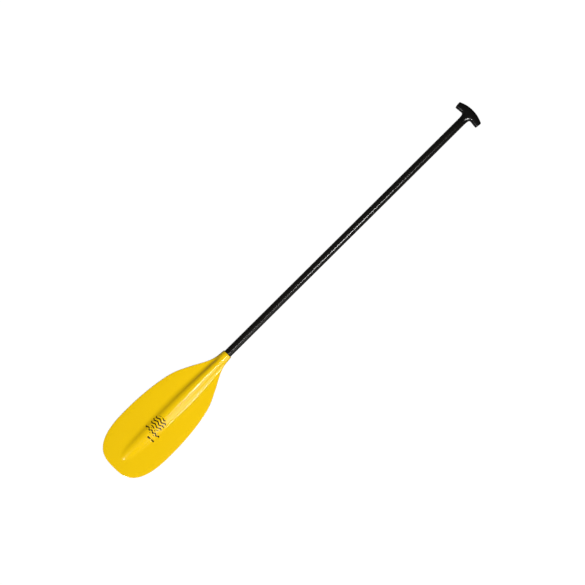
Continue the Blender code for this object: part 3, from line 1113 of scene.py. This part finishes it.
    def groove_parting_line(self, grip: bpy.types.Object) -> None:
        """Press a fine groove into the smooth grip along the plane where its mould parts.

        Args:
            grip: the smoothed grip.
        """
        take(grip)
        bpy.ops.object.mode_set(mode="EDIT")
        seam = self.top_x - self.seam_depth + 0.0005
        pick(
            grip,
            PartOf.EDGE,
            lambda e: all(abs(v.co.z - self.axis_height) < 1e-6 and v.co.x > seam for v in e.verts),
        )
        bpy.ops.mesh.bevel(offset=0.00025, segments=2)
        pick(
            grip,
            PartOf.VERT,
            lambda v: abs(v.co.z - self.axis_height) < 1e-6 and v.co.x > seam and self.is_skin(v),
        )
        bpy.ops.transform.shrink_fatten(value=-self.parting_groove)
        bpy.ops.object.mode_set(mode="OBJECT")

    def is_skin(self, vert: object) -> bool:
        """Whether a point has neighbours off the parting plane, as all of the skin's do."""
        return any(abs(e.other_vert(vert).co.z - self.axis_height) > 1e-6 for e in vert.link_edges)

    def note_palm(self, grip: bpy.types.Object) -> None:
        """Store how near each point is to the crown that the palm rubs, as palm_nearness."""
        notes = grip.data.attributes.new("palm_nearness", "FLOAT", "POINT")
        for i, vert in enumerate(grip.data.vertices):
            crown = self.top_x - self.arch * vert.co.y**2
            notes.data[i].value = 1.0 - eased(crown - vert.co.x, 0.001, 0.014)

    def build(self, effects: Effects, finish: MouldedGrip) -> bpy.types.Object:
        """Model and dress the grip.

        Args:
            effects: the shared node groups.
            finish: the grip's look.

        Returns:
            The grip.
        """
        grip = self.model_bar()
        self.pull_neck(grip)
        bpy.ops.mesh.select_all(action="SELECT")
        bpy.ops.mesh.normals_make_consistent(inside=False)
        bpy.ops.object.mode_set(mode="OBJECT")
        smooth = grip.modifiers.new("smooth", "SUBSURF")
        smooth.levels = self.smoothing
        smooth.render_levels = self.smoothing
        apply_modifier(grip, smooth)
        self.groove_parting_line(grip)
        self.note_palm(grip)
        shade(grip, 40.0)
        hang(grip, "grip_plastic", finish.make(effects), "t_grip")
        return grip


# ------------------------------------------------------------------ inside the paddle


@dataclass
class Inside:
    """The CAD nodes that stay as they are, hidden in the blade and the shaft."""

    foam_nodes: tuple[str, ...] = ("spine_core", "lower_plug", "upper_plug")
    resin_nodes: tuple[str, ...] = ("blade_bond", "grip_bond")

    def dress(self, effects: Effects, foam: Foam, resin: CuredResin) -> list[bpy.types.Object]:
        """Give each node its material.

        Args:
            effects: the shared node groups.
            foam: the foam's look.
            resin: the resin's look.

        Returns:
            The dressed nodes.
        """
        dressed = []
        looks = ((self.foam_nodes, foam.make(effects)), (self.resin_nodes, resin.make(effects)))
        for names, material in looks:
            for name in names:
                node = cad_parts[name]
                for slot in node.material_slots:
                    slot.material = material
                dressed.append(node)
        return dressed


# ------------------------------------------------------------------ studio


class LightShape(Enum):
    """Outline of a soft box: square ends, or ends that taper off."""

    BOX = "RECTANGLE"
    TAPERED = "ELLIPSE"


@dataclass(frozen=True)
class SoftBox:
    """One soft light, turned to face a point on the paddle's axis."""

    name: str
    faces_x: float
    towards: tuple[float, float, float]
    away: float
    size: tuple[float, float]
    power: float
    shape: LightShape = LightShape.BOX

    def hang(self) -> None:
        """Add the light, with its long side along the paddle."""
        back = Vector(self.towards).normalized()
        across = back.cross(Vector((1.0, 0.0, 0.0))).normalized()
        turn = Matrix((across.cross(back), across, back)).transposed().to_4x4()
        deselect_everything()
        bpy.ops.object.light_add(type="AREA")
        light = bpy.context.object
        light.name = self.name
        light.matrix_world = Matrix.Translation(Vector((self.faces_x, 0.0, 0.0)) + back * self.away) @ turn
        light.data.shape = self.shape.value
        light.data.size, light.data.size_y = self.size
        light.data.energy = self.power
        light.visible_camera = False


def leaning(degrees: float) -> tuple[float, float, float]:
    """The direction that leans off straight up by some degrees, towards the paddle's right side."""
    lean = math.radians(degrees)
    return (0.0, -math.sin(lean), math.cos(lean))


@dataclass
class Studio:
    """A pale floor, soft boxes over the paddle's right side and beyond its tip, and the camera above."""

    middle: tuple[float, float] = (-0.0098, -0.0073)
    height: float = 4.588
    lens: float = 85.0
    fill: float = 0.035
    boxes: tuple[SoftBox, ...] = (
        SoftBox("blade_strip", -0.57, leaning(26.5), 2.0, (0.62, 0.07), 6.5, LightShape.TAPERED),
        SoftBox("shaft_strip", 0.355, leaning(26.5), 2.0, (0.56, 0.20), 24.0, LightShape.TAPERED),
        SoftBox("side_panel", -0.66, leaning(63.0), 3.0, (1.10, 2.00), 9.0),
        SoftBox("tip_fill", -0.57, (-0.62, -0.20, 0.74), 6.5, (1.1, 1.1), 270.0),
    )

    def lay_floor(self) -> None:
        """Lay a pale floor that looks white from above and throws back little light."""
        deselect_everything()
        bpy.ops.mesh.primitive_plane_add(size=40.0, location=(0.0, 0.0, -0.0005))
        floor = new_piece("studio_floor")
        material = bpy.data.materials.new("pale_floor")
        material.use_nodes = True
        sketch = Sketch(material.node_tree)
        sketch.tree.nodes.clear()
        seen = sketch.node("BsdfDiffuse", {"Color": (0.04, 0.04, 0.04, 1.0)})
        glow = sketch.node("Emission", {"Color": (1.0, 1.0, 1.0, 1.0), "Strength": 1.0})
        both = sketch.node("AddShader", {0: seen.outputs[0], 1: glow.outputs[0]})
        dim = sketch.node("BsdfDiffuse", {"Color": (0.16, 0.16, 0.16, 1.0)})
        path = sketch.node("LightPath")
        choice = {0: path.outputs["Is Camera Ray"], 1: dim.outputs[0], 2: both.outputs[0]}
        chosen = sketch.node("MixShader", choice)
        sketch.node("OutputMaterial", {"Surface": chosen.outputs[0]})
        floor.data.materials.append(material)

    def fill_room(self) -> None:
        """Fill the room with faint even light, and show it pale."""
        world = bpy.data.worlds.new("studio_room")
        world.use_nodes = True
        sketch = Sketch(world.node_tree)
        sketch.tree.nodes.clear()
        path = sketch.node("LightPath")
        strength = sketch.span(path.outputs["Is Camera Ray"], 0.0, 1.0, self.fill, 1.0)
        room = sketch.node("Background", {"Color": (1.0, 1.0, 1.0, 1.0), "Strength": strength})
        sketch.node("OutputWorld", {"Surface": room.outputs[0]})
        bpy.context.scene.world = world

    def set_camera(self) -> None:
        """Hang the camera straight over the paddle, turned so that it lies corner to corner."""
        camera = bpy.data.cameras.new("camera")
        camera.lens = self.lens
        camera.sensor_width = 36.0
        camera.clip_end = 60.0
        holder = bpy.data.objects.new("camera", camera)
        bpy.context.scene.collection.objects.link(holder)
        right = Vector((0.7096, -0.7046, 0.0)).normalized()
        up = Vector((-right.y, right.x, 0.0))
        turn = Matrix((right, up, Vector((0.0, 0.0, 1.0)))).transposed().to_4x4()
        holder.matrix_world = Matrix.Translation((*self.middle, self.height)) @ turn
        bpy.context.scene.camera = holder
        bpy.context.scene.view_settings.view_transform = "Standard"

    def build(self) -> None:
        """Set up the whole studio."""
        self.lay_floor()
        self.fill_room()
        for box in self.boxes:
            box.hang()
        self.set_camera()


# ------------------------------------------------------------------ the paddle


def main() -> None:
    """Build every sub-assembly in order and report each piece."""
    logging.basicConfig(level=logging.INFO, format="%(message)s")
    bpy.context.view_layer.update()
    low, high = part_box("t_grip")
    skin_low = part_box("blade_front_skin")[0]
    shaft_low, shaft_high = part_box("shaft_tube")
    axis_height = (shaft_low.z + shaft_high.z) / 2
    effects = Effects(mottle_group(), scuffs_group(), winding_group(), waves_group())
    made = Blade(tip_x=skin_low.x, axis_height=axis_height).build(effects, YellowLaminate())
    made.append(Shaft(axis_height=axis_height).build(effects, WoundTube(height=axis_height)))
    grip = TeeGrip(top_x=high.x, axis_height=axis_height, shaft_radius=(shaft_high.y - shaft_low.y) / 2)
    made.append(grip.build(effects, MouldedGrip()))
    made += Inside().dress(effects, Foam(), CuredResin())
    Studio().build()
    for piece in made:
        LOG.info("%s: %d faces", piece.name, len(piece.data.polygons))


if __name__ == "__main__":
    main()
